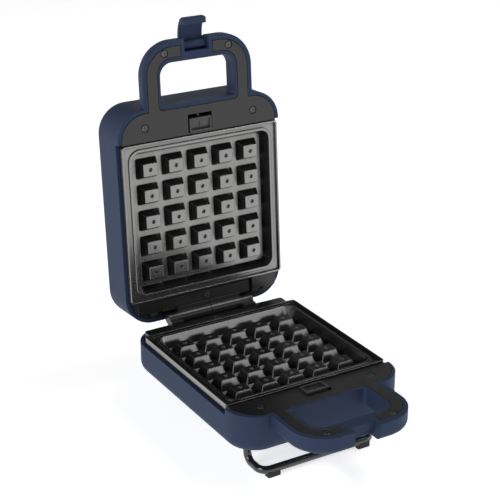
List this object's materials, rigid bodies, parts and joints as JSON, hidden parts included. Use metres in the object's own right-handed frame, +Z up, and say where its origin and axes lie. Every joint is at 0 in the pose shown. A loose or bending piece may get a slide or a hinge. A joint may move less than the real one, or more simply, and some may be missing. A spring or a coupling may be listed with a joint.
{
  "type": "waffle maker",
  "caption": "Hinged waffle maker with two studded square plates, carry-loop handles, a flip latch, plate release buttons and a bent-wire front stand.",
  "frame": {"origin": "on the surface the appliance stands on, under the middle of its bounding box with the lid open", "axes": "+Z up, -Y towards the handles, +Y towards the hinge, +X to the user's right"},
  "size_m": [0.1528, 0.2968, 0.3171],
  "materials": {
    "navy_shell": "soft-touch matt navy",
    "black_frame": "fine satin black",
    "plate_coating": "dark non-stick coating, glossy",
    "element_steel": "heat-tinted sheath",
    "pan_steel": "aluminised sheet",
    "ceramic": "glazed ceramic",
    "screw_black": "black oxide",
    "button_black": "satin black",
    "spring_steel": "bright wire",
    "hinge_grey": "satin dark grey",
    "pin_steel": "turned steel",
    "stand_black": "gloss black enamel",
    "rubber_black": "matt rubber",
    "wire_insulation": "woven glass-fibre sleeve",
    "lens_red": "clear red",
    "lens_green": "clear green"
  },
  "bodies": {
    "base": {"base_ceramic_beads": "ceramic", "base_element_cradles": "pan_steel", "base_element_leads": "wire_insulation", "base_frame": "black_frame", "base_frame_screws": "screw_black", "base_heating_element": "element_steel", "base_hinge_bracket": "hinge_grey", "base_hinge_screw": "screw_black", "base_plate": "plate_coating", "base_reflector_pan": "pan_steel", "base_release_spring": "spring_steel", "base_shell": "navy_shell", "base_thermostat": "ceramic", "cord_grommet": "rubber_black", "cord_leads": "wire_insulation", "front_stand": "stand_black", "hinge_pin": "screw_black", "rear_feet": "black_frame", "rear_foot_pads": "rubber_black", "rear_foot_screws": "pin_steel", "stand_pads": "rubber_black", "stand_retainers": "black_frame", "stand_sockets": "black_frame", "terminal_block": "ceramic", "thermal_fuse": "pin_steel"},
    "lid": {"lamp_holder": "black_frame", "latch_pin": "pin_steel", "lid_ceramic_beads": "ceramic", "lid_element_cradles": "pan_steel", "lid_element_leads": "wire_insulation", "lid_frame": "black_frame", "lid_frame_screws": "screw_black", "lid_heating_element": "element_steel", "lid_hinge_bracket": "hinge_grey", "lid_hinge_screw": "screw_black", "lid_plate": "plate_coating", "lid_reflector_pan": "pan_steel", "lid_release_spring": "spring_steel", "lid_shell": "navy_shell", "lid_thermostat": "ceramic", "power_lamp_lens": "lens_red", "ready_lamp_lens": "lens_green"},
    "latch": {"latch": "navy_shell"},
    "base_release": {"base_release_button": "button_black"},
    "lid_release": {"lid_release_button": "button_black"}
  },
  "joints": [
    {"name": "lid_hinge", "type": "hinge", "parent": "base", "child": "lid", "pos_m": [0, 0.09068, 0.0626], "axis": [1, 0, 0], "range_deg": [0, 93.8]},
    {"name": "latch_pivot", "type": "hinge", "parent": "lid", "child": "latch", "pos_m": [0, 0.11464, 0.2936], "axis": [1, 0, 0], "range_deg": [0, 90]},
    {"name": "base_release_slide", "type": "slide", "parent": "base", "child": "base_release", "axis": [0, -1, 0], "range_m": [0, 0.003], "stiffness_N_per_m": 400, "springref_m": -0.002, "deforming": ["base_release_spring"]},
    {"name": "lid_release_slide", "type": "slide", "parent": "lid", "child": "lid_release", "axis": [0, 0.0663, 0.9978], "range_m": [0, 0.003], "stiffness_N_per_m": 400, "springref_m": -0.002, "deforming": ["lid_release_spring"]}
  ]
}
